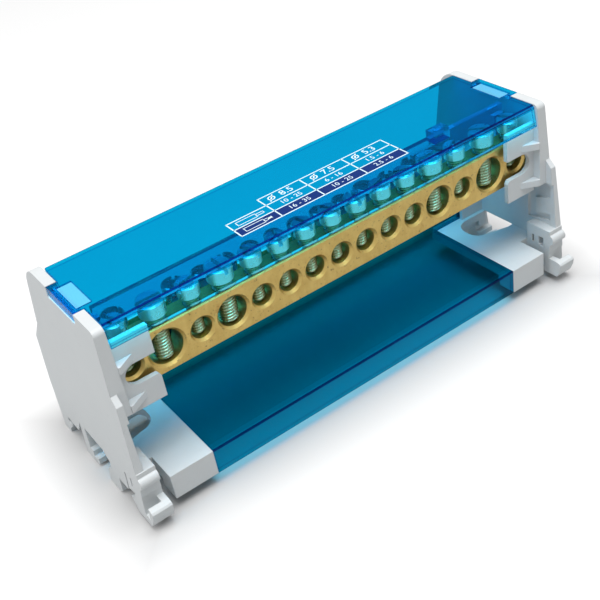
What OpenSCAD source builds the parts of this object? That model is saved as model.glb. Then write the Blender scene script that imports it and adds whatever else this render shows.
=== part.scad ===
// Two-bar power distribution block for a 35 mm top-hat rail.
// X runs along the bars, the wiring side faces -Y, the feet stand on Z = 0.
// Inside the modules Y = 0 is the front face of the arms; centred() moves that to the final frame.

/* [End brackets] */
// distance between the inner faces of the two end brackets
inner_span = 121.8; // [90:0.1:200]
// height of the block above its feet
height = 50.9; // [40:0.1:70]
// thickness of a bracket's wall at its top edge
wall_top = 2.6; // [2:0.1:4]
// outward draft of a bracket's outer face, in degrees
draft = 3.2; // [0:0.1:5]
// thickness taken out of the inner face below the bars
pocket_depth = 2.6; // [1:0.1:2.8]
// top of that pocket below the front bar's middle
pocket_drop = 7.65; // [6.5:0.05:12]
// front edge of the wall at its top
front_top = 4.1; // [2:0.1:8]
// front edge of the wall just above the ledge
front_mid = 3.4; // [2:0.1:8]
// depth of the ledge in the front edge below the top
ledge_drop = 15.9; // [12:0.1:20]
// forward step of the ledge
ledge_step = 1.9; // [0.5:0.1:3]
// thickness of the inner leaf that ends at the ledge
inner_leaf = 2; // [1:0.1:2.2]
// radius of the leaf's rounded tip
leaf_tip_r = 1.8; // [1:0.1:2.5]
// reach of the tip into the pocket
leaf_tip = 1; // [0.5:0.1:2]
// depth of the recess in the pocket's front part
recess_depth = 0.7; // [0.3:0.1:0.8]
// rear edge of that recess
recess_rear = 10.2; // [8:0.1:12]
// front edge of that recess
recess_front = 2.3; // [1.5:0.1:4]
// length of the pad in the recess
wall_pad_l = 5.3; // [3:0.1:6]
// height of the pad in the recess
wall_pad_h = 5; // [3:0.1:7]
// rounding of the front top corner
front_r = 1.4; // [0.5:0.1:4]
// reach of the wall behind the rail
heel_out = 6.2; // [4:0.1:10]
// set-back of the rear edge above the rear step
mid_back = 4.3; // [2:0.1:6]
// set-back of the rear edge at the top
top_back = 6.6; // [4:0.1:10]
// depth of the rear step's upper end below the top
step_drop = 17.7; // [12:0.1:22]
// height of the rear step
step_h = 5.8; // [3:0.1:8]
// height where the rear edge starts to lean in to the hook
heel_z = 13.4; // [8:0.1:20]
// rounding of the rear top corner
rear_r = 6; // [2:0.1:10]

/* [Rail fixing] */
// width of the rail
rail_w = 35; // [34.7:0.05:35.3]
// front edge of the rail
rail_front = 6; // [4:0.1:8]
// height of the faces that rest on the rail
seat_z = 5.3; // [4:0.1:8]
// thickness of the rail's flange
rail_t = 1; // [0.8:0.05:1.5]
// clearance under the flange in the hook
hook_clear = 0.15; // [0.05:0.05:0.5]
// relief of the hook's roof over the flange
hook_relief = 0.2; // [0.1:0.05:0.5]
// reach of the fixed hook under the flange
hook_reach = 2.1; // [1:0.1:4]
// reach of the spring barb under the flange
barb_reach = 1.1; // [0.5:0.1:2]
// length of each seat along the flange
seat_l = 4.4; // [3:0.1:6]
// thickness of the feet measured from the inner face
foot_w = 5.5; // [3:0.1:8]
// gap between the rear guide foot and the rail's rear edge
guide_gap = 8.9; // [7:0.1:11]
// thickness of the rear guide foot's post
guide_post = 2.7; // [1.5:0.1:4]
// length of the rear guide foot
guide_l = 7.4; // [4:0.1:9]
// height of the rear guide foot's toe
guide_toe = 3.2; // [2:0.1:5]
// front face of the front guide foot
nose_front = 12.8; // [11:0.1:15]
// length of the front guide foot
nose_l = 6.4; // [4:0.1:9]
// width of the slots that free the spring clip
slot_w = 0.6; // [0.4:0.05:1.2]

/* [Spring clip] */
// top of the clip's block
block_top = 15.2; // [12:0.1:20]
// underside of the clip's block
block_low = 8.6; // [7:0.1:12]
// rear face of the clip's block
block_rear = 8.3; // [6:0.1:12]
// radius of the bead across the clip
bead_r = 1.5; // [0.8:0.1:2.5]
// depth of the two windows in the block's inner face
window_depth = 1.8; // [0.5:0.1:2.2]
// front face of the clip's leg
leg_front = 0.4; // [0:0.1:2]
// rear face of the clip's leg
leg_rear = 4.1; // [3:0.1:6]
// underside of the clip's outer half
clip_low = 1.2; // [0.5:0.1:3]
// width of the clip's raised inner half
clip_in_w = 2.6; // [1:0.1:3.5]
// how far the underside is raised there
clip_raise = 0.8; // [0:0.1:1.5]
// reach of the release lip in front of the arms
lip_reach = 3.8; // [2:0.1:6]
// top of the release lip
lip_top = 6.7; // [5:0.1:9]
// depth of the thumb recess behind the lip
thumb_depth = 3.5; // [1:0.1:5]
// wall at the inner end of the thumb recess
thumb_wall = 1.7; // [1:0.1:3]
// thickness of the ridge in front of the thumb recess
ridge_t = 1.9; // [1:0.1:3]

/* [Arms] */
// reach of each arm from the bracket's inner face
arm_reach = 13.7; // [10:0.1:20]
// gap between the arm's front box and the clip
arm_gap = 2.4; // [1:0.1:4]
// underside of the arm's front
arm_low = 2.9; // [0:0.1:5]
// top face of the arms and of the tray
arm_top = 9.8; // [7:0.1:14]
// depth of the arm's front box
arm_box = 5.6; // [3:0.1:7]
// where the arm joins the wall behind the clip
arm_join = 8.5; // [6:0.1:12]
// skin of the arm
arm_skin = 2.4; // [1.5:0.1:4]
// depth to which the wall's lower edge, between its rail seats, laps the arm
wall_lap = 0.4; // [0.3:0.1:2]
// front edge of the window in the arm
window_front = 16.7; // [12:0.1:20]
// rear edge of the window in the arm
window_rear = 27.4; // [22:0.1:28]
// arm left at the inner side of its window
window_rim = 4.8; // [2.5:0.1:8]
// width of the wall's lower edge outside the window
window_skin = 0.7; // [0.5:0.1:2]
// corner radius of the window
window_r = 4; // [1:0.1:5]
// front face of the stub wall that holds the partition
stub_front = 28.4; // [25:0.1:32]
// thickness of the stub wall
stub_t = 3.6; // [2:0.1:5]
// length of the stub wall
stub_l = 5.2; // [3:0.1:8]

/* [Bar nests] */
// front face of the fingers in front of the front bar
finger_face = 5.6; // [4:0.1:7]
// thickness of a finger
finger_t = 1.3; // [1:0.1:2]
// length of the fingers
finger_l = 9.3; // [7:0.1:12]
// how far the fingers reach below the bar's middle
finger_down = 9.6; // [7:0.1:12]
// how far the fingers reach above the bar's middle
finger_up = 10; // [8:0.1:12]
// height of the slot between the fingers
finger_gap = 5.6; // [4:0.1:8]
// how far the slot's middle lies below the bar's middle
slot_drop = 0.3; // [0:0.1:1]
// width of the pads between fingers and bar
pad_w = 1.3; // [0.8:0.1:2]
// thickness of the gussets on the fingers
gusset_t = 1.8; // [1:0.1:3]
// reach of the gussets in front of the fingers
gusset_reach = 2.4; // [1:0.1:4]
// length of the upper gusset
gusset_high_l = 4.4; // [2:0.1:8]
// length of the lower gusset
gusset_low_l = 4.9; // [2:0.1:8]
// height of the upper gusset above the bar's middle
gusset_rise = 4.15; // [3:0.05:8]
// depth of the lower gusset below the bar's middle
gusset_drop = 6.45; // [3:0.05:8]
// width of the ledge under a bar's end
ledge_w = 3.6; // [2:0.1:6]

/* [Bars] */
// play at each end of a bar
bar_play = 0.4; // [0.2:0.1:1]
// distance from an end hole's middle to the bar's end
end_margin = 3.7; // [3.4:0.1:6]
// thickness of each bar
bar_t = 6; // [4:0.1:10]
// height of each bar
bar_h = 12.1; // [9:0.1:16]
// outward face of the front bar
front_bar_y = 7.9; // [6:0.1:10]
// depth of the front bar's middle below the top
front_bar_drop = 15.05; // [12:0.05:20]
// depth of the rear bar's outward face inside the rear edge
rear_bar_in = 4.7; // [4.7:0.1:7]
// height of the rear bar's middle
rear_bar_z = 16.85; // [14:0.05:25]
// diameter of the small wire holes
small_d = 5.3; // [4:0.1:6]
// diameter of the middle-sized wire holes
mid_d = 7.5; // [6:0.1:8]
// diameter of the large wire holes
big_d = 8.5; // [7:0.1:9.5]
// spacing of the small holes in the middle
small_pitch = 7.48; // [6.5:0.01:9]
// spacing from a small hole to a middle-sized one
mid_pitch = 8.13; // [7:0.01:10]
// spacing from a small hole to a large one, inner side
big_pitch_in = 9.1; // [8:0.01:11]
// spacing from a large hole to the end hole
big_pitch_out = 9; // [8:0.01:11]
// chamfer at the mouth of a wire hole
mouth_chamfer = 0.65; // [0.1:0.05:0.8]
// chamfer along the long edges of a bar
bar_chamfer = 0.3; // [0.1:0.05:0.8]

/* [Clamp screws] */
// thread radius of the large clamp screws
m5_r = 2.4; // [2:0.05:3]
// thread radius of the small clamp screws
m4_r = 1.9; // [1.5:0.05:2.5]
// radial clearance of a screw in its hole
screw_clear = 0.1; // [0.05:0.01:0.3]
// head radius of the large clamp screws
m5_head_r = 3.1; // [2.5:0.05:4]
// head radius of the small clamp screws
m4_head_r = 2.6; // [2:0.05:3.5]
// head height of the large clamp screws
m5_head_h = 3.4; // [2:0.1:5]
// head height of the small clamp screws
m4_head_h = 3; // [2:0.1:5]
// free thread between the bar and the head
screw_stub = 2.1; // [1:0.1:4]
// gap between a screw's tip and the floor of its wire hole
tip_gap = 0.35; // [0.1:0.05:1]
// length of the taper at a screw's tip
tip_taper = 1; // [0.5:0.1:1.5]
// width of the driver slot
drive_w = 1; // [0.6:0.1:1.6]
// depth of the driver slot
drive_d = 1.3; // [0.6:0.1:2]

/* [Cover] */
// thickness of the cover
cover_t = 1.4; // [1:0.1:2.5]
// set-back of the cover's rear edge from the brackets' rear edge
cover_back = 6.1; // [4:0.1:12]
// front fold of the cover
cover_fold = 5; // [4:0.1:8]
// height of the cover's front lip
cover_lip_h = 5.6; // [3:0.1:10]
// how far the lip leans out to the front
cover_lean = 0.9; // [0:0.1:3]
// thickness of the front lip
cover_lip_t = 1.1; // [0.8:0.1:2]
// corner radius at the rear of the cover
cover_r = 0.6; // [0.3:0.1:6]
// clearance of the cover between the brackets
cover_clear = 0.25; // [0.1:0.05:0.6]
// front edge of the cover's end tabs
tab_front = 13.5; // [10:0.1:18]
// rear edge of the cover's end tabs
tab_rear = 27.2; // [22:0.1:32]
// drop of the tab's lip outside the bracket
tab_drop = 2.4; // [1.6:0.1:5]
// thickness of the tab's lip
tab_lip = 1.1; // [0.8:0.1:2]
// depth of the shallow finger mark at each end
mark_depth = 0.4; // [0.2:0.1:0.8]
// length of the finger mark
mark_l = 10.5; // [6:0.1:12]
// width of the finger mark
mark_w = 3.6; // [2:0.1:6]

/* [Partition] */
// thickness of the blue partition
part_t = 1.5; // [1:0.1:2.5]
// front face of its upper wall
upper_wall_y = 14.4; // [14.2:0.1:18]
// gap between its upper wall and the cover
upper_wall_gap = 0.6; // [0.3:0.1:2]
// front face of its lower wall
lower_wall_y = 29.5; // [25:0.1:32]
// top of the shelf below the brackets' pocket top
shelf_drop = 0.8; // [0.4:0.1:3]
// gap between its walls' ends and the brackets' inner faces
wall_play = 1.9; // [1:0.1:4]
// stop block on the back of the upper wall: its left end, from the middle
stop_x = 37; // [20:0.5:45]
// clearance of the partition in its grooves
part_clear = 0.1; // [0.05:0.05:0.3]

/* [Hidden] */
$fn = 32;
eps = 0.01;
far = 200;
inner_x = inner_span / 2;
outer_top = inner_x + wall_top;
outer_low = outer_top + height * tan(draft);
thin_x = inner_x + pocket_depth;
leaf_x = inner_x + inner_leaf;
skirt_z = arm_top - arm_skin;
wall_low = arm_top - wall_lap;
rail_rear = rail_front + rail_w;
rear_low = rail_rear + heel_out;
rear_mid = rear_low - mid_back;
rear_top = rear_low - top_back;
step_high = height - step_drop;
step_low = step_high - step_h;
ledge_z = height - ledge_drop;
front_bar_z = height - front_bar_drop;
rear_bar_y = rear_low - rear_bar_in;
pocket_top = front_bar_z - pocket_drop;
arm_in = inner_x - arm_reach;
arm_out = inner_x - arm_gap;
window_in = arm_in + window_rim;
stub_in = inner_x - stub_l;
finger_in = inner_x - finger_l;
guide_rear = rail_rear - guide_gap;
hook_top = seat_z - rail_t - hook_clear;
hook_lip = rail_rear - hook_reach;
barb_tip = rail_front + barb_reach;
foot_in = outer_low - foot_w;
mid_y = (rear_low - lip_reach) / 2;
front_axis_y = front_bar_y + bar_t / 2;
rear_axis_y = rear_bar_y - bar_t / 2;
under_cover = height - cover_t;
cover_half = inner_x - cover_clear;
cover_rear = rear_top - cover_back;
cover_lip_z = height - cover_lip_h;
tab_out = outer_top - 0.1;
tab_low = height - tab_drop;
shelf_top = pocket_top - shelf_drop;
upper_wall_top = under_cover - upper_wall_gap;
wall_half = inner_x - wall_play;
bar_half = inner_x - bar_play;
end_hole = bar_half - end_margin;
// the holes spread in proportion to the bar's length
hole_spread = end_hole / steps(7);
slot_end = end_hole - 0.2;

// a bar has 15 holes, numbered -7 to 7 from its middle
function steps(n) = n <= 3 ? n * small_pitch
  : n == 4 ? steps(3) + mid_pitch
  : n == 5 ? steps(4) + mid_pitch
  : n == 6 ? steps(5) + big_pitch_in
  : steps(6) + big_pitch_out;
function hole_offset(i) = sign(i) * steps(abs(i)) * hole_spread;
function is_big(i) = abs(i) == 6;
function is_mid(i) = abs(i) == 4;
function hole_r(i) = (is_big(i) ? big_d : is_mid(i) ? mid_d : small_d) / 2;
function takes_m5(i) = is_big(i) || is_mid(i);
function thread_r(i) = takes_m5(i) ? m5_r : m4_r;
function head_r(i) = takes_m5(i) ? m5_head_r : m4_head_r;
function head_h(i) = takes_m5(i) ? m5_head_h : m4_head_h;
// points of an arc, counter-clockwise from angle a0 to a1
function arc(c, r, a0, a1, n = 6) = [for (k = [0:n]) let (a = a0 + (a1 - a0) * k / n)
  [c[0] + r * cos(a), c[1] + r * sin(a)]];

module centred() translate([0, -mid_y, 0]) children();

// extrudes a (Y, Z) outline along X from x0 to x1
module along_x(x0, x1) translate([x0, 0, 0]) rotate([90, 0, 90]) linear_extrude(x1 - x0) children();

module box(x0, x1, y0, y1, z0, z1) translate([x0, y0, z0]) cube([x1 - x0, y1 - y0, z1 - z0]);

// ---- end bracket, right-hand side ----

// side view of the wall: front edge, top, stepped rear edge, fixed hook and rail seats
module wall_outline() polygon(concat(
  [[leg_front, block_top], [front_mid - ledge_step, ledge_z - ledge_step], [front_mid, ledge_z]],
  arc([front_top + front_r, height - front_r], front_r, 180, 90),
  arc([rear_top - rear_r, height - rear_r], rear_r, 90, 12),
  [[rear_mid, step_high], [rear_low, step_low], [rear_low, heel_z], [rear_low - 2, 0],
   [rail_rear + 0.6, 0], [rail_rear + 0.3, 1.4], [hook_lip + 0.3, hook_top - 0.7],
   [hook_lip, hook_top], [rail_rear, hook_top], [rail_rear, seat_z + hook_relief],
   [hook_lip, seat_z + hook_relief], [hook_lip, seat_z],
   [hook_lip - seat_l, seat_z], [hook_lip - seat_l - 2.4, wall_low],
   [nose_front + nose_l, wall_low], [nose_front - 0.3, seat_z],
   [block_rear, seat_z], [rail_front + 0.6, seat_z + 1.2], [leg_rear, block_low - 1.6],
   [leg_front, block_low]]));

// front guide foot, forked off the wall's lower edge
module nose_outline() polygon([[nose_front, wall_low + 0.6], [nose_front - 0.2, 1.2],
  [nose_front + 1.2, 0.2], [nose_front + nose_l, 0], [nose_front + nose_l + 0.3, 1],
  [nose_front + nose_l - 0.6, 4.3], [nose_front + nose_l - 2.6, seat_z],
  [nose_front + nose_l - 2.8, wall_low + 0.6]]);

// rear guide foot: a post with a toe that reaches forward and ends in a small lip
module guide_outline() difference() {
  polygon([[guide_rear - guide_l, 1.1], [guide_rear - guide_l + 0.5, 0.7], [guide_rear - 3, 0],
    [guide_rear, 0],
    [guide_rear, wall_low + 0.6], [guide_rear - guide_post, wall_low + 0.6],
    [guide_rear - guide_post - 0.6, guide_toe + 0.4], [guide_rear - guide_l, guide_toe - 0.6]]);
  translate([guide_rear - guide_l + 1.1, guide_toe - 1.4]) square([1.6, 2.4]);
}

// release lip and leg of the spring clip, as far as its inner side
module clip_outline() polygon([[leg_front, block_low + 1], [leg_front, lip_top],
  [-lip_reach + ridge_t, lip_top], [-lip_reach + 0.4, lip_top - 0.3], [-lip_reach, lip_top - 0.8],
  [-lip_reach + 0.3, clip_low + 3],
  [-lip_reach + 1.4, clip_low + 0.7], [-lip_reach + 2.2, clip_low], [2, clip_low], [2, lip_top - 0.6],
  [leg_rear, lip_top], [leg_rear, block_low + 1]]);

// the barb under the rail's flange, on the clip's outer side
module barb_outline() polygon([[leg_front, block_low], [leg_front, clip_low], [leg_rear + 0.1, 0.9],
  [barb_tip, hook_top], [barb_tip - 1.5, hook_top], [leg_rear, block_low - 1.6],
  [leg_rear, block_low]]);

module clip() {
  difference() {
    along_x(inner_x, outer_low + 1) clip_outline();
    box(inner_x + thumb_wall, far, ridge_t - lip_reach, leg_front, lip_top - thumb_depth, far);
    box(inner_x - eps, inner_x + clip_in_w, -far, leg_rear, -1, clip_low + clip_raise);
  }
  along_x(inner_x + clip_in_w, outer_low + 1) barb_outline();
  translate([inner_x, leg_front, block_top - bead_r - 1.2]) rotate([0, 90, 0])
    cylinder(r = bead_r, h = outer_low - inner_x + 1);
  difference() {
    box(inner_x, outer_low + 1, 0.1, block_rear, block_low, block_top);
    // two narrow windows moulded into the block's inner face
    box(inner_x - eps, inner_x + window_depth, 5.7, 6.45, block_low - eps, 12.1);
    box(inner_x - eps, inner_x + window_depth, 2.4, 4.1, block_low + 0.2, 12.4);
  }
}

// slots that let the clip spring forward
module clip_slots() {
  box(thin_x - 0.3, far, rail_front + 1.1, rail_front + 1.1 + slot_w, 0, 10.6);
  translate([thin_x - 0.3, rail_front + 1.1 + slot_w / 2, 10.6]) rotate([0, 90, 0])
    cylinder(r = 0.45, h = far);
  box(thin_x + 0.5, far, leg_rear + 0.2, leg_rear + 0.2 + slot_w, 8.7, 11.2);
}

// outline of the pad, whose lower and upper edges drop towards the rear
module wall_pad() translate([recess_front - eps, block_top + 3.5]) polygon([[0, 0],
  [wall_pad_l, -1.4], [wall_pad_l, wall_pad_h - 1.6], [0, wall_pad_h]]);

module wall() {
  difference() {
    union() {
      along_x(leaf_x, outer_low + 1) wall_outline();
      // inner leaf, set back at the front and ending below the bar in a rounded tip
      intersection() {
        along_x(inner_x, leaf_x + eps) wall_outline();
        box(inner_x - 1, leaf_x + 1, front_mid, far, -1, far);
      }
    }
    // pocket in the inner face, below the bars; the leaf's rounded tip hangs into it at the front
    difference() {
      box(inner_x - 1, thin_x, -far, stub_front + eps, arm_top, pocket_top);
      translate([inner_x, front_mid + leaf_tip_r, pocket_top + leaf_tip_r - leaf_tip])
        rotate([0, 90, 0]) cylinder(r = leaf_tip_r, h = inner_leaf);
    }
    // recess in the pocket's front part
    along_x(thin_x - eps, thin_x + recess_depth) polygon([[recess_front, block_top + 1.6],
      [recess_rear, block_top + 0.1], [recess_rear, pocket_top - 1], [recess_front, pocket_top - 1]]);
    // stepped notch for the cover's tab
    box(inner_x - 1, far, tab_front - cover_clear, tab_rear + cover_clear, under_cover - 0.1, far);
    box(tab_out - tab_lip - 0.15, far, tab_front - cover_clear, tab_rear + cover_clear,
      tab_low - 0.15, far);
    // the arm's window runs on under the wall, sloping down to its outer edge
    translate([0, window_rear, 0]) rotate([90, 0, 0]) linear_extrude(window_rear - window_front + 0.9)
      polygon([[inner_x - 1, 0], [inner_x - 1, arm_top], [thin_x, arm_top],
        [outer_low - window_skin, wall_low], [outer_low - window_skin, 0]]);
  }
  // pad in the recess, above the clip
  along_x(thin_x, thin_x + recess_depth + eps) wall_pad();
}

module arm_window() {
  linear_extrude(far, center = true) union() {
    translate([window_in + window_r, window_front + window_r + 1.2]) circle(window_r);
    translate([window_in + window_r, window_rear - window_r]) circle(window_r);
    polygon([[window_in, window_front + window_r + 1.2], [window_in + window_r, window_front + 1.2],
      [thin_x, window_front - 0.9], [thin_x, window_rear], [window_in + window_r, window_rear],
      [window_in, window_rear - window_r]]);
  }
}

module arm() {
  difference() {
    union() {
      box(arm_in, arm_out, 0, arm_join + eps, arm_low, arm_top);
      box(arm_in, thin_x + eps, arm_join, stub_front + stub_t, seat_z + 0.3, arm_top);
    }
    // hollow underneath, leaving the skin, side walls and the front box
    box(arm_in + arm_skin, arm_out - arm_skin, 2, stub_front, -eps, skirt_z);
    box(arm_out - arm_skin - eps, thin_x - arm_skin, arm_join + 2, stub_front, -eps, skirt_z);
    // the rail passes behind the front box
    box(arm_in - 1, far, arm_box, far, -eps, seat_z + 0.3);
    arm_window();
  }
  difference() {
    box(stub_in, thin_x + eps, stub_front, stub_front + stub_t, arm_top - eps, shelf_top + 0.6);
    // groove for the partition's lower wall, and room for its shelf
    box(stub_in - 1, wall_half + part_clear, lower_wall_y - part_clear,
      lower_wall_y + part_t + part_clear, arm_top, far);
    box(stub_in - 1, wall_half + part_clear, 0, lower_wall_y + part_t + part_clear,
      shelf_top - part_t - part_clear, far);
  }
}

module gusset(z, l) translate([0, finger_face, z - gusset_t / 2]) linear_extrude(gusset_t)
  polygon([[inner_x - l, eps], [inner_x + eps, eps], [inner_x + eps, -gusset_reach],
    [inner_x - 0.5, -gusset_reach]]);

// fingers that hold a bar's end; the bar's middle is at height z, its face just behind the fingers
module fingers(z) {
  difference() {
    translate([0, finger_face + finger_t, 0]) rotate([90, 0, 0]) linear_extrude(finger_t) difference() {
      union() {
        translate([finger_in + 2, z - finger_down]) square([inner_x + eps - finger_in - 2, finger_down + finger_up]);
        translate([finger_in, z - finger_down]) square([3, finger_down - 4]);
        translate([finger_in, z + 2]) square([3, finger_up - 2]);
        translate([finger_in + 2, z - 4.6]) circle(2);
      }
      translate([0, z - slot_drop - finger_gap / 2]) square([slot_end, finger_gap]);
      translate([slot_end, z - slot_drop]) circle(finger_gap / 2);
    }
  }
  gusset(z + gusset_rise, gusset_high_l);
  gusset(z - gusset_drop, gusset_low_l);
  // pads that keep the bar off the fingers
  for (dz = [-finger_down + 4, finger_up - 6]) box(inner_x - pad_w, inner_x + eps,
    finger_face + finger_t - eps, front_bar_y - 0.2, z + dz, z + dz + 2);
  // ledge under the bar's end
  box(inner_x - ledge_w, inner_x + eps, finger_face, front_bar_y + bar_t, z - bar_h / 2 - 1.8,
    z - bar_h / 2 - 0.2);
}

module right_bracket_body() difference() {
  union() {
    wall();
    arm();
    clip();
    fingers(front_bar_z);
    // ribs behind the partition's upper wall
    box(inner_x - 3.4, inner_x + eps, upper_wall_y + part_t + 0.2, upper_wall_y + part_t + 1.7,
      pocket_top + 0.4, cover_lip_z);
    // nest of the rear bar: fingers behind it, a stop in front of it
    translate([0, rear_bar_y + front_bar_y, 0]) mirror([0, 1, 0]) fingers(rear_bar_z);
    box(inner_x - ledge_w, inner_x + eps, rear_axis_y - bar_t / 2 - 2, rear_axis_y - bar_t / 2 - 0.3,
      rear_bar_z - finger_down, rear_bar_z + 6);
    intersection() {
      union() {
        along_x(foot_in, outer_low + 1) nose_outline();
        along_x(foot_in, outer_low + 1) guide_outline();
      }
      box(0, far, 0, far, 0, wall_low + 0.3);
    }
  }
  clip_slots();
  // drafted outer face
  translate([outer_top, 0, height]) rotate([0, -draft, 0]) box(0, far, -far, far, -far, far);
}

module right_end_bracket() color([0.76, 0.78, 0.79]) centred() right_bracket_body();

module left_end_bracket() color([0.76, 0.78, 0.79]) centred() mirror([1, 0, 0]) right_bracket_body();

// ---- bars ----

// a bar lying on its own axes: outward face on Y = 0, middle on Z = 0
module bar() difference() {
  along_x(-bar_half, bar_half) polygon([[0, -bar_h / 2 + bar_chamfer], [bar_chamfer, -bar_h / 2],
    [bar_t - bar_chamfer, -bar_h / 2], [bar_t, -bar_h / 2 + bar_chamfer],
    [bar_t, bar_h / 2 - bar_chamfer], [bar_t - bar_chamfer, bar_h / 2],
    [bar_chamfer, bar_h / 2], [0, bar_h / 2 - bar_chamfer]]);
  for (i = [-7:7]) translate([hole_offset(i), 0, 0]) {
    translate([0, -1, 0]) rotate([-90, 0, 0]) cylinder(r = hole_r(i), h = bar_t + 2);
    translate([0, -eps, 0]) rotate([-90, 0, 0])
      cylinder(r1 = hole_r(i) + mouth_chamfer, r2 = hole_r(i) - eps, h = mouth_chamfer + 2 * eps);
    translate([0, bar_t / 2, 0]) cylinder(r = thread_r(i) + screw_clear, h = bar_h);
  }
}

module front_bar() color([0.73, 0.59, 0.3]) centred() translate([0, front_bar_y, front_bar_z]) bar();

module rear_bar() color([0.73, 0.59, 0.3]) centred()
  translate([0, rear_bar_y, rear_bar_z]) mirror([0, 1, 0]) bar();

// ---- clamp screws ----

// clamp screw of hole i, standing on its bar's middle height
module screw(i) {
  tip = tip_gap - hole_r(i);
  seat = bar_h / 2 + screw_stub;
  difference() {
    union() {
      translate([0, 0, tip]) cylinder(r1 = thread_r(i) - tip_taper, r2 = thread_r(i), h = tip_taper);
      translate([0, 0, tip + tip_taper]) cylinder(r = thread_r(i), h = seat - tip - tip_taper + eps);
      translate([0, 0, seat]) cylinder(r = head_r(i), h = head_h(i) - 0.4);
      translate([0, 0, seat + head_h(i) - 0.4]) cylinder(r1 = head_r(i), r2 = head_r(i) - 0.4, h = 0.4);
    }
    translate([-drive_w / 2, -far / 2, seat + head_h(i) - drive_d]) cube([drive_w, far, far]);
  }
}

module front_screw(n) color([0.62, 0.66, 0.6]) centred()
  translate([hole_offset(n - 8), front_axis_y, front_bar_z]) screw(n - 8);

module rear_screw(n) color([0.62, 0.66, 0.6]) centred()
  translate([hole_offset(n - 8), rear_axis_y, rear_bar_z]) screw(n - 8);

// ---- clear blue cover ----

module cover_tab() {
  box(cover_half - eps, tab_out, tab_front, tab_rear, under_cover, height);
  along_x(tab_out - tab_lip, tab_out) polygon([[tab_front, height],
    [tab_front, tab_low + 0.5], [tab_front + 0.5, tab_low],
    [tab_rear - 0.5, tab_low], [tab_rear, tab_low + 0.5], [tab_rear, height]]);
}

module top_cover() color([0.1, 0.6, 0.85, 0.6]) centred() difference() {
  union() {
    intersection() {
      along_x(-cover_half, cover_half) polygon([[cover_rear, height], [cover_fold + 0.6, height],
        [cover_fold, height - 0.6], [cover_fold - cover_lean, cover_lip_z],
        [cover_fold - cover_lean + cover_lip_t, cover_lip_z],
        [cover_fold + cover_lip_t, under_cover], [cover_rear, under_cover]]);
      // rounded rear corners
      linear_extrude(far) union() {
        translate([-cover_half, 0]) square([2 * cover_half, cover_rear - cover_r]);
        translate([-cover_half + cover_r, 0]) square([2 * (cover_half - cover_r), cover_rear]);
        for (s = [-1, 1]) translate([s * (cover_half - cover_r), cover_rear - cover_r]) circle(cover_r);
      }
    }
    cover_tab();
    mirror([1, 0, 0]) cover_tab();
  }
  // shallow finger mark at each end
  for (s = [0, 1]) mirror([s, 0, 0]) box(tab_out - 1.4 - mark_w, tab_out - 1.4, tab_front + 1.2,
    tab_front + 1.2 + mark_l, height - mark_depth, far);
}

// ---- clear blue partition: tray, lower wall, shelf and upper wall in one ----

module insulating_partition() color([0.05, 0.4, 0.6, 0.7]) centred() {
  along_x(-arm_in + part_clear, arm_in - part_clear) polygon([[0, arm_low], [part_t, arm_low],
    [part_t, arm_top - part_t], [lower_wall_y + part_t, arm_top - part_t],
    [lower_wall_y + part_t, arm_top + part_clear], [0, arm_top + part_clear]]);
  along_x(-wall_half, wall_half) polygon([[lower_wall_y, arm_top + part_clear],
    [lower_wall_y + part_t, arm_top + part_clear], [lower_wall_y + part_t, shelf_top],
    [upper_wall_y + part_t, shelf_top], [upper_wall_y + part_t, upper_wall_top],
    [upper_wall_y, upper_wall_top], [upper_wall_y, shelf_top - part_t],
    [lower_wall_y, shelf_top - part_t]]);
  // stop block on the back of the upper wall
  box(stop_x, stop_x + 5, upper_wall_y + part_t - eps, upper_wall_y + part_t + 3,
    upper_wall_top - 3, upper_wall_top);
}

left_end_bracket();
right_end_bracket();
insulating_partition();
top_cover();
front_bar();
rear_bar();
front_screw(1);  // front_screw_1
front_screw(2);  // front_screw_2
front_screw(3);  // front_screw_3
front_screw(4);  // front_screw_4
front_screw(5);  // front_screw_5
front_screw(6);  // front_screw_6
front_screw(7);  // front_screw_7
front_screw(8);  // front_screw_8
front_screw(9);  // front_screw_9
front_screw(10);  // front_screw_10
front_screw(11);  // front_screw_11
front_screw(12);  // front_screw_12
front_screw(13);  // front_screw_13
front_screw(14);  // front_screw_14
front_screw(15);  // front_screw_15
rear_screw(1);  // rear_screw_1
rear_screw(2);  // rear_screw_2
rear_screw(3);  // rear_screw_3
rear_screw(4);  // rear_screw_4
rear_screw(5);  // rear_screw_5
rear_screw(6);  // rear_screw_6
rear_screw(7);  // rear_screw_7
rear_screw(8);  // rear_screw_8
rear_screw(9);  // rear_screw_9
rear_screw(10);  // rear_screw_10
rear_screw(11);  // rear_screw_11
rear_screw(12);  // rear_screw_12
rear_screw(13);  // rear_screw_13
rear_screw(14);  // rear_screw_14
rear_screw(15);  // rear_screw_15
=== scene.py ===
import math

import bmesh
import bpy
import numpy as np
from mathutils import Matrix, Vector


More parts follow.
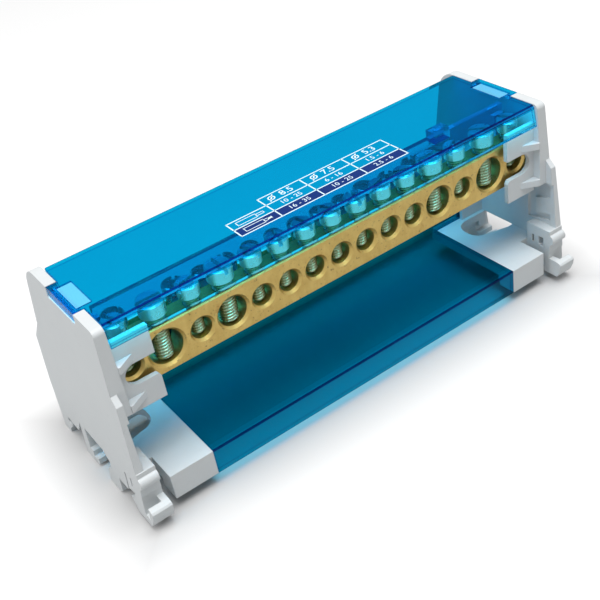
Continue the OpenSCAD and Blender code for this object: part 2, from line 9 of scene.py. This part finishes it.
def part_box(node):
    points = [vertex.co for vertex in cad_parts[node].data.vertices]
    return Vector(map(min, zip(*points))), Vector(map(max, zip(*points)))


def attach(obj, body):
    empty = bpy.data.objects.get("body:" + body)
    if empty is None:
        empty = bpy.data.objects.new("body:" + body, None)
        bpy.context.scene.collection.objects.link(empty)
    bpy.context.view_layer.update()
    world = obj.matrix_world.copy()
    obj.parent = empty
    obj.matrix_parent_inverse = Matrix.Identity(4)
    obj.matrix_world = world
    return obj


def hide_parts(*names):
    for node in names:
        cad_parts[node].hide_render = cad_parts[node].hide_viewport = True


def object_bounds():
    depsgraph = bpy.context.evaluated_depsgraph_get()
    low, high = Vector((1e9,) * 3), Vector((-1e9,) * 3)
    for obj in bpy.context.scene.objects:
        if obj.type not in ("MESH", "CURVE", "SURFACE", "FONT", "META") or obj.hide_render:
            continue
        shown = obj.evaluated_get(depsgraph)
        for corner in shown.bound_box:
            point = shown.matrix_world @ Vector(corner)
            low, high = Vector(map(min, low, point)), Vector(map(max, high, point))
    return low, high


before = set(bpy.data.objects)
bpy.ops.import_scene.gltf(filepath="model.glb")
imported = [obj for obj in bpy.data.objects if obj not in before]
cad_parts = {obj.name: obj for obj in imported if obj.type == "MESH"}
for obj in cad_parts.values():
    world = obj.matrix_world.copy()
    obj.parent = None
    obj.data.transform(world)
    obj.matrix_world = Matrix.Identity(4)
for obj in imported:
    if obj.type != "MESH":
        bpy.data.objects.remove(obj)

cad_low, cad_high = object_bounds()
MM = 0.001
WHITE = (1.0, 1.0, 1.0, 1.0)
BLACK = (0.0, 0.0, 0.0, 1.0)
rng = np.random.default_rng(11)


# ---- shader maths ----

class Value:
    """A shader socket that Python's operators work on; each operator adds one Math node."""

    def __init__(self, tree, socket):
        self.tree = tree
        self.socket = socket

    def maths(self, operation, *others, clamp=False):
        n = self.tree.nodes.new("ShaderNodeMath")
        n.operation = operation
        n.use_clamp = clamp
        for place, v in zip(n.inputs, (self,) + others):
            if isinstance(v, Value):
                self.tree.links.new(v.socket, place)
            else:
                place.default_value = v
        return Value(self.tree, n.outputs[0])

    def __add__(self, other):
        return self.maths("ADD", other)

    __radd__ = __add__

    def __mul__(self, other):
        return self.maths("MULTIPLY", other)

    __rmul__ = __mul__

    def __sub__(self, other):
        return self.maths("SUBTRACT", other)

    def __rsub__(self, other):
        return (self * -1.0).maths("ADD", other)

    def __truediv__(self, other):
        return self.maths("DIVIDE", other)

    def __gt__(self, other):
        return self.maths("GREATER_THAN", other)

    def __lt__(self, other):
        return self.maths("LESS_THAN", other)

    def __abs__(self):
        return self.maths("ABSOLUTE")

    def clamped(self):
        """The value held between 0 and 1."""
        return self.maths("ADD", 0.0, clamp=True)

    def past(self, threshold, steepness):
        """0 up to threshold, rising from there by steepness, up to 1."""
        return (self - threshold).maths("MULTIPLY", steepness, clamp=True)


class Nodes:
    """A node tree and the ways to add to it."""

    def __init__(self, tree):
        self.tree = tree
        tree.nodes.clear()

    def node(self, kind, settings=None, **values):
        """Adds a node from its type, its settings, and the values or links of its sockets. A key
        names a socket, with _ for each space, or numbers it after a leading _."""
        n = self.tree.nodes.new("ShaderNode" + kind)
        for key, v in (settings or {}).items():
            setattr(n, key, v)
        for key, v in values.items():
            self.put(n.inputs[int(key[1:]) if key[0] == "_" else key.replace("_", " ")], v)
        return n

    def put(self, socket, v):
        if isinstance(v, Value):
            self.tree.links.new(v.socket, socket)
        elif isinstance(v, bpy.types.NodeSocket):
            self.tree.links.new(v, socket)
        else:
            socket.default_value = v

    def value(self, kind, output, settings=None, **values):
        """Adds a node and gives the named output as a Value."""
        return Value(self.tree, self.node(kind, settings, **values).outputs[output])

    def split(self, vector):
        """The three parts of a vector as Values."""
        return [Value(self.tree, part) for part in self.node("SeparateXYZ", Vector=vector).outputs]

    def place(self, stretch=(1, 1, 1)):
        """Object coordinates in millimetres, stretched along the axes."""
        at = self.node("TexCoord").outputs["Object"]
        return self.node("Mapping", Vector=at, Scale=[s / MM for s in stretch]).outputs[0]

    def axes(self):
        """The three object coordinates in millimetres."""
        return self.split(self.place())

    def noise(self, size, detail=4.0, rough=0.55, stretch=(1, 1, 1)):
        """Noise from 0 to 1 whose lumps are about size millimetres across."""
        return self.value("TexNoise", "Fac", Vector=self.place(stretch), Scale=1.0 / size,
                          Detail=detail, Roughness=rough)

    def mix(self, share, first, second):
        """The colour first where share is 0, second where it is 1."""
        n = self.node("Mix", {"data_type": "RGBA"}, _0=share, _6=first, _7=second)
        return n.outputs[2]

    def bump(self, height, depth, normal=None):
        """A normal from a height of 0 to 1 that stands for depth millimetres."""
        n = self.node("Bump", Height=height, Strength=1.0, Distance=depth * MM)
        if normal is not None:
            self.put(n.inputs["Normal"], normal)
        return n.outputs[0]

    def rounded(self, radius):
        """A normal that rounds sharp edges by radius millimetres."""
        return self.node("Bevel", {"samples": 6}, Radius=radius * MM).outputs[0]

    def edges(self, radius, gain=9.0):
        """1 along sharp or tightly rounded edges, falling to 0 about radius millimetres from them:
        gain times what the rounded normal's dot product with the true one falls short of 1."""
        true = self.node("NewGeometry").outputs["Normal"]
        same = self.value("VectorMath", "Value", {"operation": "DOT_PRODUCT"},
                          _0=self.rounded(radius), _1=true)
        return ((1.0 - same) * gain).clamped()


class Finish(Nodes):
    """A material and its node tree."""

    def __init__(self, name):
        self.material = bpy.data.materials.new(name)
        self.material.use_nodes = True
        super().__init__(self.material.node_tree)
        self.out = self.node("OutputMaterial")

    def shader(self, **values):
        """A Principled shader's output."""
        return self.node("BsdfPrincipled", **values).outputs[0]

    def finish(self, surface, volume=None):
        """Connects the shaders to the output and gives the material."""
        self.put(self.out.inputs["Surface"], surface)
        if volume is not None:
            self.put(self.out.inputs["Volume"], volume)
        return self.material


def rgb(r, g, b):
    """A colour given as 0 to 255 screen values, as linear light."""
    return tuple(c / 12.92 if c <= 0.04045 else ((c + 0.055) / 1.055) ** 2.4
                 for c in (r / 255, g / 255, b / 255)) + (1.0,)


# ---- finishes ----

def grey_plastic():
    """Matt light grey moulding with a fine spark texture and faint cloudiness."""
    f = Finish("grey_plastic_finish")
    cloud = f.noise(9.0)
    grain = f.noise(0.35, detail=2.0)
    scuff = (f.noise(2.6, detail=6.0, rough=0.7) > 0.63) * 0.5
    colour = f.mix(cloud, rgb(203, 208, 210), rgb(212, 216, 217))
    colour = f.mix(scuff * 0.25, colour, rgb(188, 192, 194))
    return f.finish(f.shader(Base_Color=colour, Roughness=0.4 + cloud * 0.14, Specular_IOR_Level=0.4,
                             Normal=f.bump(grain, 0.012, f.rounded(0.22))))


def front_lip(f, node):
    """1 on a clear moulding's thin front lip, 0 elsewhere."""
    depth, below_top = 2.2, 1.2
    low, high = (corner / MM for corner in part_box(node))
    _, y, z = f.axes()
    return (y < low.y + depth) * (z < high.z - below_top)


def fold_band(first, last):
    """A band along the narrow chamfer where the cover's top folds down into its front lip, where
    the cover gets a painted dark line and a painted highlight line: 1 between first and last
    (0 = the chamfer's lower edge, 1 = its upper edge), 0 elsewhere."""
    lean, chamfer, margin = 0.9, 0.6, 0.1

    def share(f, node):
        low, high = (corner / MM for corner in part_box(node))
        front, under = low.y + lean, high.z - chamfer
        _, y, z = f.axes()
        along = (y + z - (front + under)) / (2 * chamfer)
        beside = (z > under - margin) * (y < front + chamfer + margin)
        return (along > first) * (along < last) * beside

    return share


def painted_edge_shade(f, node):
    """1 along a clear moulding's edges, 0 elsewhere: there the moulding gets painted shade, darker lines
    standing in for how light bends at its edges.
    """
    return f.edges(0.45)


def tray_front_edge(f, node):
    """1 along the upper front edge of the partition's tray, where a painted dark line goes, 0 elsewhere.
    """
    tray_top, width = 9.9, 0.42
    _, y, z = f.axes()
    return (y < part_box(node)[0].y / MM + width) * (z > tray_top - width)


def upper_wall(f, node):
    """1 on the partition's shelf and upper wall, 0 below them."""
    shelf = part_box("front_bar")[0].z / MM
    return f.axes()[2] > shelf


def top_face(f, node):
    """1 on a moulding's topmost face, where the painted glow goes, 0 elsewhere."""
    return f.axes()[2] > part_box(node)[1].z / MM - 0.02


def clear_plastic(name, node, skin, shade, accents, depth_tint, density, painted_top_glow=None):
    """Clear tinted moulding: a light tint at the skin, other tints where accents gives them, the
    later over the earlier, and absorption in the thickness. Light passes through to what is behind.
    Given a glow colour, its top face glows faintly in that colour: a painted glow, standing in for
    light inside the moulding, not a lamp."""
    f = Finish(name)
    colour = f.mix(f.noise(14.0, detail=2.0), skin, shade)
    for share, tint in accents:
        colour = f.mix(share(f, node), colour, tint)
    values = {"Base_Color": colour, "Roughness": 0.015 + f.noise(1.1, detail=3.0) * 0.02, "IOR": 1.12,
              "Transmission_Weight": 1.0, "Normal": f.bump(f.noise(7.0, detail=1.0), 0.012)}
    if painted_top_glow:
        # painted glow: the top face gives off a faint light of its own, standing in for light inside the
        # moulding
        values["Emission_Color"] = f.mix(top_face(f, node), BLACK, painted_top_glow)
        values["Emission_Strength"] = 1.0
    through = f.node("BsdfTransparent", Color=(0.9, 1.0, 1.0, 1.0))
    both = f.node("MixShader", _0=f.value("LightPath", "Is Shadow Ray"), _1=f.shader(**values),
                  _2=through.outputs[0])
    inside = f.node("VolumeAbsorption", Color=depth_tint, Density=density)
    return f.finish(both.outputs[0], inside.outputs[0])


def cover_plastic():
    """Bright clear blue with a lighter lip; a painted dark line and a painted highlight line where the
    top folds into the lip, and painted shade darkening the edges.
    """
    # Painted light: the lip's lighter tint is partly its thinner wall and partly painted light for the
    # brighter inside under it; the edges get painted shade; on the fold's chamfer a painted dark line
    # lies over a painted highlight line.
    accents = [(front_lip, (0.26, 0.98, 1.0, 1.0)), (painted_edge_shade, (0.0, 0.08, 0.34, 1.0)),
               (fold_band(0.45, 1.05), (0.0, 0.01, 0.13, 1.0)),
               (fold_band(-0.1, 0.45), (0.08, 0.62, 0.92, 1.0))]
    return clear_plastic("blue_cover_finish", "top_cover", (0.0, 0.41, 0.62, 1.0), (0.0, 0.44, 0.65, 1.0),
                         accents, (0.0, 0.62, 0.93, 1.0), 330.0)


def tray_plastic():
    """Deep clear blue with a painted navy line along the tray's front edge and painted shade along its
    edges; lighter above the shelf; its top face has a painted glow.
    """
    # painted shade: darker edges and a navy line along the tray's front edge
    accents = [(front_lip, (0.0, 0.38, 0.52, 1.0)), (painted_edge_shade, (0.0, 0.12, 0.3, 1.0)),
               (tray_front_edge, (0.0, 0.01, 0.1, 1.0)), (upper_wall, (0.14, 0.8, 0.95, 1.0))]
    # the last colour given is a painted glow on the top face
    return clear_plastic("blue_tray_finish", "insulating_partition", (0.0, 0.255, 0.345, 1.0),
                         (0.0, 0.295, 0.385, 1.0), accents, (0.0, 0.64, 0.86, 1.0), 220.0,
                         (0.0, 0.2, 0.38, 1.0))


def frosted_mark():
    """The fine etched grip of the thumb marks: pale and half covering."""
    f = Finish("frosted_mark_finish")
    grain = f.noise(0.25, detail=3.0)
    colour = f.mix(grain, rgb(96, 202, 240), rgb(134, 218, 248))
    return f.finish(f.shader(Base_Color=colour, Roughness=0.6 + grain * 0.2, Alpha=0.5 + grain * 0.15,
                             Normal=f.bump(grain, 0.01)))


def brass():
    """Drawn brass: fine lines along the bar, dull stains, dark specks and bright worn spots."""
    f = Finish("brass_finish")
    lines = f.noise(0.5, detail=5.0, stretch=(0.06, 1, 1))
    stain = f.noise(4.0, detail=6.0, rough=0.66)
    streak = f.noise(1.3, detail=4.0, rough=0.6, stretch=(1, 1, 0.3))
    specks = f.noise(0.7, detail=3.0, rough=0.6).past(0.62, 9.0)
    tarnish = f.noise(2.2, detail=5.0, rough=0.7).past(0.6, 5.0)
    colour = f.mix(stain * 0.6 + streak * 0.4, rgb(160, 124, 54), rgb(228, 202, 128))
    colour = f.mix(tarnish * 0.75, colour, rgb(138, 84, 38))
    colour = f.mix(specks * 0.7, colour, rgb(84, 60, 34))
    return f.finish(f.shader(Base_Color=colour, Metallic=0.92 - specks * 0.4,
                             Roughness=0.26 + lines * 0.2 + tarnish * 0.15,
                             Normal=f.bump(lines, 0.02, f.rounded(0.1))))


def zinc(name, dull, bright, metallic):
    """Zinc-plated steel with a faint green passivation, duller in patches."""
    f = Finish(name)
    patch = f.noise(1.8, detail=4.0)
    fine = f.noise(0.2, detail=3.0)
    return f.finish(f.shader(Base_Color=f.mix(patch, dull, bright), Metallic=metallic + patch * 0.05,
                             Roughness=0.2 + patch * 0.18, Normal=f.bump(fine, 0.006)))


def print_ink(name, thin, full):
    """Screen-printed ink, slightly uneven in cover."""
    f = Finish(name)
    return f.finish(f.shader(Base_Color=f.mix(f.noise(0.9, detail=5.0), thin, full),
                             Roughness=0.45 + f.noise(0.5) * 0.1, Specular_IOR_Level=0.2))


# ---- meshes ----

def placed(name, mesh, body):
    """An object of the mesh that rides a body and fills a material slot."""
    piece = bpy.data.objects.new(name, mesh)
    bpy.context.scene.collection.objects.link(piece)
    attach(piece, body)
    return piece


def make(name, points, faces, material, body):
    """A piece from an array of points and a list of faces."""
    mesh = bpy.data.meshes.new(name)
    mesh.from_pydata(points.tolist(), [], faces)
    mesh.update()
    mesh.materials.append(material)
    return placed(name, mesh, body)


def grid_faces(rows, columns):
    """Quads of a grid of rows x columns points, its columns closed into a ring."""
    r = np.arange(rows - 1)[:, None]
    c = np.arange(columns)[None, :]
    d = (c + 1) % columns
    q = np.stack([r * columns + c, r * columns + d, (r + 1) * columns + d, (r + 1) * columns + c], -1)
    return [tuple(quad) for quad in q.reshape(-1, 4).tolist()]


def shank(low, high, crest, pitch, taper, around=20, per_turn=6):
    """Threaded shank from z = low to high.
    Radius = root + depth * wave(z / pitch - angle / turn), where wave is a trapezium from 0 to 1;
    below low + taper the whole radius shrinks in a straight line to the tip's, and in the last
    turn below the head it is the root's."""
    depth = 0.61 * pitch
    flat, flank = 0.12, 0.66
    rows = int(per_turn * (high - low) / pitch) + 1
    z, a = np.meshgrid(np.linspace(low, high, rows), np.arange(around) / around, indexing="ij")
    phase = np.abs(np.mod(z / pitch - a, 1.0) * 2 - 1)
    wave = np.clip((phase - flat) / flank, 0, 1)
    limit = crest - taper + np.clip(z - low, 0, taper)
    r = np.minimum(crest - depth * (1 - wave), limit)
    r = np.where(z > high - pitch, np.minimum(r, crest - depth), r)
    turn = 2 * math.pi * a
    points = np.stack([r * np.cos(turn), r * np.sin(turn), z], -1).reshape(-1, 3)
    ends = [tuple(range(around - 1, -1, -1)), tuple(range((rows - 1) * around, rows * around))]
    return points, grid_faces(rows, around) + ends


def slotted_head(low, high, radius, chamfer, slot_w, slot_d, turn, stations=18):
    """Slotted cylinder head, lofted along x.
    The section at x is a rectangle of half width sqrt(radius^2 - x^2), chamfered at the top rim;
    between the slot's two faces its top drops to the slot's floor. The whole is turned about z."""
    half, hair = slot_w / 2, 0.02 * MM
    bend = np.linspace(0, 1, stations // 2 + 1)
    side = half + (radius - half) * np.sin(bend * math.pi / 2)
    x = np.concatenate([-side[::-1], [-half, half], side])
    cut = np.zeros(len(x), bool)
    cut[stations // 2 + 1:stations // 2 + 3] = True
    inner, floor = radius - chamfer, high - slot_d
    wide = np.sqrt(np.maximum(radius ** 2 - x ** 2, 0))
    narrow = np.sqrt(np.maximum(inner ** 2 - x ** 2, 0))
    top = np.where(cut, floor, high - np.maximum(np.abs(x) - inner, 0))
    shoulder = np.where(cut, floor - hair, high - chamfer)
    narrow = np.where(cut, wide - hair, narrow)
    ring_y = np.stack([-wide, wide, wide, narrow, -narrow, -wide], -1)
    ring_z = np.stack([0 * x + low, 0 * x + low, shoulder, top, top, shoulder], -1)
    points = np.stack([np.repeat(x[:, None], 6, 1), ring_y, ring_z], -1).reshape(-1, 3)
    c, s = math.cos(turn), math.sin(turn)
    turned = np.stack([points[:, 0] * c - points[:, 1] * s, points[:, 0] * s + points[:, 1] * c,
                       points[:, 2]], -1)
    return turned, grid_faces(len(x), 6)


def merged(mesh):
    """Joins a mesh's coincident points and turns all its faces outwards."""
    b = bmesh.new()
    b.from_mesh(mesh)
    bmesh.ops.remove_doubles(b, verts=b.verts, dist=0.002 * MM)
    bmesh.ops.dissolve_degenerate(b, edges=b.edges, dist=0.002 * MM)
    bmesh.ops.recalc_face_normals(b, faces=b.faces)
    b.to_mesh(mesh)
    b.free()


def clamp_screw(node, thread, head):
    """One clamp screw, sized from its CAD node: a threaded shank with a slotted head on it."""
    low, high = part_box(node)
    middle = (low + high) / 2
    head_r = (high.x - low.x) / 2
    large = head_r > 2.85 * MM
    thread_r = (2.4 if large else 1.9) * MM
    head_h = (3.4 if large else 3.0) * MM
    pitch = (0.8 if large else 0.7) * MM
    taper, lap = 1.0 * MM, 0.05 * MM
    chamfer, slot_w, slot_d = 0.4 * MM, 1.0 * MM, 1.3 * MM
    seat = high.z - head_h
    p1, f1 = shank(low.z, seat + lap, thread_r, pitch, taper)
    p2, f2 = slotted_head(seat, high.z, head_r, chamfer, slot_w, slot_d, rng.uniform(0, math.pi))
    points = np.concatenate([p1, p2]) + np.array([middle.x, middle.y, 0])
    faces = f1 + [tuple(i + len(p1) for i in f) for f in f2]
    piece = make(node + "_threaded", points, faces, thread, node)
    piece.data.materials.append(head)
    piece.data.polygons.foreach_set("material_index", [0] * len(f1) + [1] * len(f2))
    merged(piece.data)
    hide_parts(node)


# ---- print on the cover, in millimetres ----

def strip(x0, x1, y0, y1):
    """Corners of a rectangle."""
    return [(x0, y0), (x1, y0), (x1, y1), (x0, y1)]


def diameter_sign(x, y, radius=0.95, width=0.3, sides=20):
    """Quads of a flat ring with a slash through it."""
    a = np.linspace(0, 2 * math.pi, sides + 1)
    quads = []
    for a0, a1 in zip(a[:-1], a[1:]):
        corners = ((radius - width, a0), (radius, a0), (radius, a1), (radius - width, a1))
        quads.append([(x + r * math.cos(t), y + r * math.sin(t)) for r, t in corners])
    slash = ((-1.1, -1.2), (-0.8, -1.35), (1.1, 1.2), (0.8, 1.35))
    quads.append([(x + dx, y + dy) for dx, dy in slash])
    return quads


def wire_outline(x, y, tip):
    """Quads of a wire's outline: a sleeve, the thinner core in front of it and its filled tip."""
    left, right, end = x - 3.6, x + 1.6, x + 3.6
    sleeve, core, pen = 0.75, 0.4, 0.1
    quads = []
    for side in (-1, 1):
        quads.append(strip(left, right, y + side * sleeve - pen, y + side * sleeve + pen))
        quads.append(strip(right, end, y + side * core - pen, y + side * core + pen))
    for edge in (left, right):
        quads.append(strip(edge - pen, edge + pen, y - sleeve - pen, y + sleeve + pen))
    quads.append(strip(end + pen - tip, end + pen, y - core - pen, y + core + pen))
    return quads


def flat_piece(name, quads, z, material):
    """A piece of flat quads lying at height z in metres."""
    points = np.array([(x * MM, y * MM, z) for q in quads for x, y in q])
    faces = np.arange(len(points)).reshape(-1, 4).tolist()
    return make(name, points, faces, material, "cover")


def figures(name, words, z, material):
    """Plain numbers lying at height z in metres: (text, x, y, height) in millimetres, centred."""
    b = bmesh.new()
    for text, x, y, size in words:
        curve = bpy.data.curves.new(name + "_line", "FONT")
        curve.body = text
        curve.size = size * MM
        curve.align_x = "CENTER"
        curve.align_y = "CENTER"
        curve.resolution_u = 3
        line = bpy.data.objects.new(name + "_line", curve)
        bpy.context.scene.collection.objects.link(line)
        bpy.context.view_layer.update()
        mesh = bpy.data.meshes.new_from_object(line)
        mesh.transform(Matrix.Translation((x * MM, y * MM, z)))
        b.from_mesh(mesh)
        bpy.data.objects.remove(line)
    joined = bpy.data.meshes.new(name)
    b.to_mesh(joined)
    b.free()
    joined.materials.clear()
    joined.materials.append(material)
    return placed(name, joined, "cover")


def cover_table(front):
    """A plain table of hole diameters and wire sizes, front being the cover's front edge:
    the quads of its filled row, the quads of its lines and signs, and its numbers."""
    columns = (-23.1, -12.1, -0.2, 12.4, 24.7)
    rows = [front + r for r in (6.95, 10.3, 13.7, 17.4)]
    pen, large, small = 0.16, 3.0, 2.1
    lines = []
    for n, x in enumerate(columns):
        lines.append(strip(x - pen, x + pen, rows[0], rows[2] if n == 0 else rows[3]))
    for n, y in enumerate(rows):
        left = columns[1] if n == 3 else columns[0]
        lines.append(strip(left - pen, columns[-1] + pen, y - pen, y + pen))
    across = [(a + b) / 2 for a, b in zip(columns[:-1], columns[1:])]
    lowest, middle, highest = ((a + b) / 2 for a, b in zip(rows[:-1], rows[1:]))
    words = []
    for x, width in zip(across[1:], ("8.5", "7.5", "5.3")):
        lines.extend(diameter_sign(x - 3.2, highest))
        words.append((width, x + 1.0, highest, large))
    for y, spans, tip in ((middle, ("10 - 25", "6 - 16", "1.5 - 6"), 0.2),
                          (lowest, ("16 - 35", "10 - 25", "2.5 - 6"), 1.1)):
        for x, span in zip(across[1:], spans):
            words.append((span, x, y, small))
        lines.extend(wire_outline(across[0], y, tip))
    return [strip(columns[0], columns[-1], rows[0], rows[1])], lines, words


def thumb_marks(outer):
    """Quads of the two grip marks by the cover's ends, outer being its half length."""
    inset, reach, front, rear = 1.4, 5.0, -7.0, 3.5
    return [strip(s * (outer - reach), s * (outer - inset), front, rear)[::s] for s in (-1, 1)]


def cover_print():
    """Everything printed or etched on the cover."""
    low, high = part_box("top_cover")
    band_lift, ink_lift, mark_depth = 0.003 * MM, 0.006 * MM, 0.396 * MM
    ink = print_ink("white_print", rgb(205, 232, 242), rgb(232, 245, 250))
    dark = print_ink("navy_print", rgb(2, 38, 104), rgb(6, 46, 114))
    band, lines, words = cover_table(low.y / MM)
    flat_piece("print_band", band, high.z + band_lift, dark)
    flat_piece("print_lines", lines, high.z + ink_lift, ink)
    flat_piece("thumb_marks", thumb_marks(high.x / MM), high.z - mark_depth, frosted_mark())
    figures("print_figures", words, high.z + ink_lift, ink)


# ---- the room ----

def floor_finish():
    """Matt grey that keeps a soft shadow near the block and turns white beside it: far rises from 0
    to 1 between 4 mm inside the block's outline and 14 mm outside it."""
    f = Finish("floor_finish")
    seen = f.value("LightPath", "Is Camera Ray") + f.value("LightPath", "Is Transmission Ray")
    seen = (seen + f.value("LightPath", "Is Glossy Ray") * 0.35).clamped()
    x, y, _ = f.axes()
    beside = (abs(x) - cad_high.x / MM).maths("MAXIMUM", abs(y) - cad_high.y / MM)
    far = ((beside + 4.0) / 18.0).clamped()
    matt = f.node("BsdfDiffuse", Color=(0.52, 0.52, 0.52, 1.0))
    glow = f.node("Emission", Color=WHITE, Strength=0.42)
    both = f.node("AddShader", _0=matt.outputs[0], _1=glow.outputs[0])
    lit = f.node("MixShader", _0=seen * far, _1=matt.outputs[0], _2=both.outputs[0])
    return f.finish(lit.outputs[0])


def floor():
    half, drop = 3.0, -0.02 * MM
    corners = [(-half, -half, drop), (half, -half, drop), (half, half, drop), (-half, half, drop)]
    mesh = bpy.data.meshes.new("floor")
    mesh.from_pydata(corners, [], [(0, 1, 2, 3)])
    mesh.materials.append(floor_finish())
    sheet = bpy.data.objects.new("floor", mesh)
    bpy.context.scene.collection.objects.link(sheet)


def white_room():
    """White where it is seen directly or through the clear parts, dim for diffuse light and more so
    overhead, and for mirrored light dark high up at the back."""
    world = bpy.data.worlds.new("white_room")
    bpy.context.scene.world = world
    world.use_nodes = True
    w = Nodes(world.node_tree)
    path = {ray: w.value("LightPath", "Is %s Ray" % ray)
            for ray in ("Camera", "Transmission", "Glossy", "Diffuse")}
    _, away, up = w.split(w.node("TexCoord").outputs["Generated"])
    dark_wall = (up * 5.0 - 1.0).clamped() * (away * 4.0 - 0.4).clamped()
    mirrored = path["Glossy"] * (0.95 - dark_wall * 0.85)
    seen = (path["Camera"] + path["Transmission"] + mirrored).clamped()
    dim = 0.33 - (up * 2.5 - 0.4).clamped() * 0.12
    light = w.node("Background", Color=WHITE, Strength=seen.maths("MAXIMUM", path["Diffuse"] * dim))
    w.node("OutputWorld", Surface=light.outputs[0])


def softbox(name, at, size, power):
    """A rectangular lamp facing the block's foot."""
    lamp = bpy.data.lights.new(name, "AREA")
    lamp.shape = "RECTANGLE"
    lamp.size, lamp.size_y = size
    lamp.energy = power
    box = bpy.data.objects.new(name, lamp)
    box.location = at
    box.rotation_euler = (Vector((0, 0, 0.02)) - Vector(at)).to_track_quat("-Z", "Y").to_euler()
    bpy.context.scene.collection.objects.link(box)


def lights():
    softbox("key_left", (-0.75, 0.05, 0.65), (0.5, 0.6), 3.1)
    softbox("top", (0.05, -0.12, 0.9), (0.8, 0.6), 9.5)


def camera():
    """A camera in front of the block's left end, looking down along it."""
    right = (0.8025, -0.5785, -0.1461)
    down = (-0.4409, -0.4098, -0.7985)
    forward = (0.4021, 0.7052, -0.5839)
    place = (-0.10644, -0.17689, 0.16484)
    data = bpy.data.cameras.new("camera")
    data.lens = 59.68
    data.sensor_width = 36.0
    data.clip_start = 0.01
    data.clip_end = 20.0
    eye = bpy.data.objects.new("camera", data)
    rows = [[right[i], -down[i], -forward[i], place[i]] for i in range(3)]
    eye.matrix_world = Matrix(rows + [[0, 0, 0, 1]])
    bpy.context.scene.collection.objects.link(eye)
    bpy.context.scene.camera = eye


# ---- the block ----

def opened_bracket(node, material):
    """A bracket whose arm window is open to the outside: a copy of the node's mesh less a thin box
    through the web that closes the window on the wall's line."""
    low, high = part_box(node)
    side = 1 if high.x > -low.x else -1
    web_inset, web_cut, window_l, window_middle = 2.841, 0.06, 10.7, 0.3
    window_low, window_high = 5.5, 9.79
    centre = (side * (max(-low.x, high.x) - web_inset * MM), window_middle * MM,
              (window_low + window_high) / 2 * MM)
    b = bmesh.new()
    bmesh.ops.create_cube(b, size=1.0)
    bmesh.ops.scale(b, vec=(web_cut * MM, window_l * MM, (window_high - window_low) * MM), verts=b.verts)
    bmesh.ops.translate(b, vec=centre, verts=b.verts)
    box = bpy.data.meshes.new("window_cut")
    b.to_mesh(box)
    b.free()
    cutter = bpy.data.objects.new("window_cut", box)
    bpy.context.scene.collection.objects.link(cutter)
    piece = placed(node + "_opened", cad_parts[node].data.copy(), "housing")
    merged(piece.data)
    window = piece.modifiers.new("window", "BOOLEAN")
    window.operation = "DIFFERENCE"
    window.solver = "EXACT"
    window.object = cutter
    cut = piece.evaluated_get(bpy.context.evaluated_depsgraph_get())
    piece.data = bpy.data.meshes.new_from_object(cut)
    piece.modifiers.clear()
    bpy.data.objects.remove(cutter)
    piece.data.materials.clear()
    piece.data.materials.append(material)
    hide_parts(node)


def dress(node, material):
    """Gives a CAD node its material."""
    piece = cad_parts[node]
    if not piece.material_slots:
        piece.data.materials.append(material)
    for place in piece.material_slots:
        place.material = material


def brackets():
    grey = grey_plastic()
    for node in ("left_end_bracket", "right_end_bracket"):
        opened_bracket(node, grey)


def bars():
    yellow = brass()
    for node in ("front_bar", "rear_bar"):
        dress(node, yellow)


def screws():
    head = zinc("zinc_head_finish", rgb(196, 208, 206), rgb(228, 236, 234), 0.78)
    # the thread's zinc is darker than the head's: painted shade inside the bar's holes, with the green of
    # the passivation
    thread = zinc("zinc_thread_painted_shade_finish", rgb(138, 160, 132), rgb(186, 200, 176), 0.9)
    for row in ("front", "rear"):
        for n in range(1, 16):
            clamp_screw("%s_screw_%d" % (row, n), thread, head)


camera()
lights()
floor()
white_room()
brackets()
dress("top_cover", cover_plastic())
dress("insulating_partition", tray_plastic())
bars()
screws()
cover_print()

bpy.context.scene.view_settings.view_transform = "Standard"
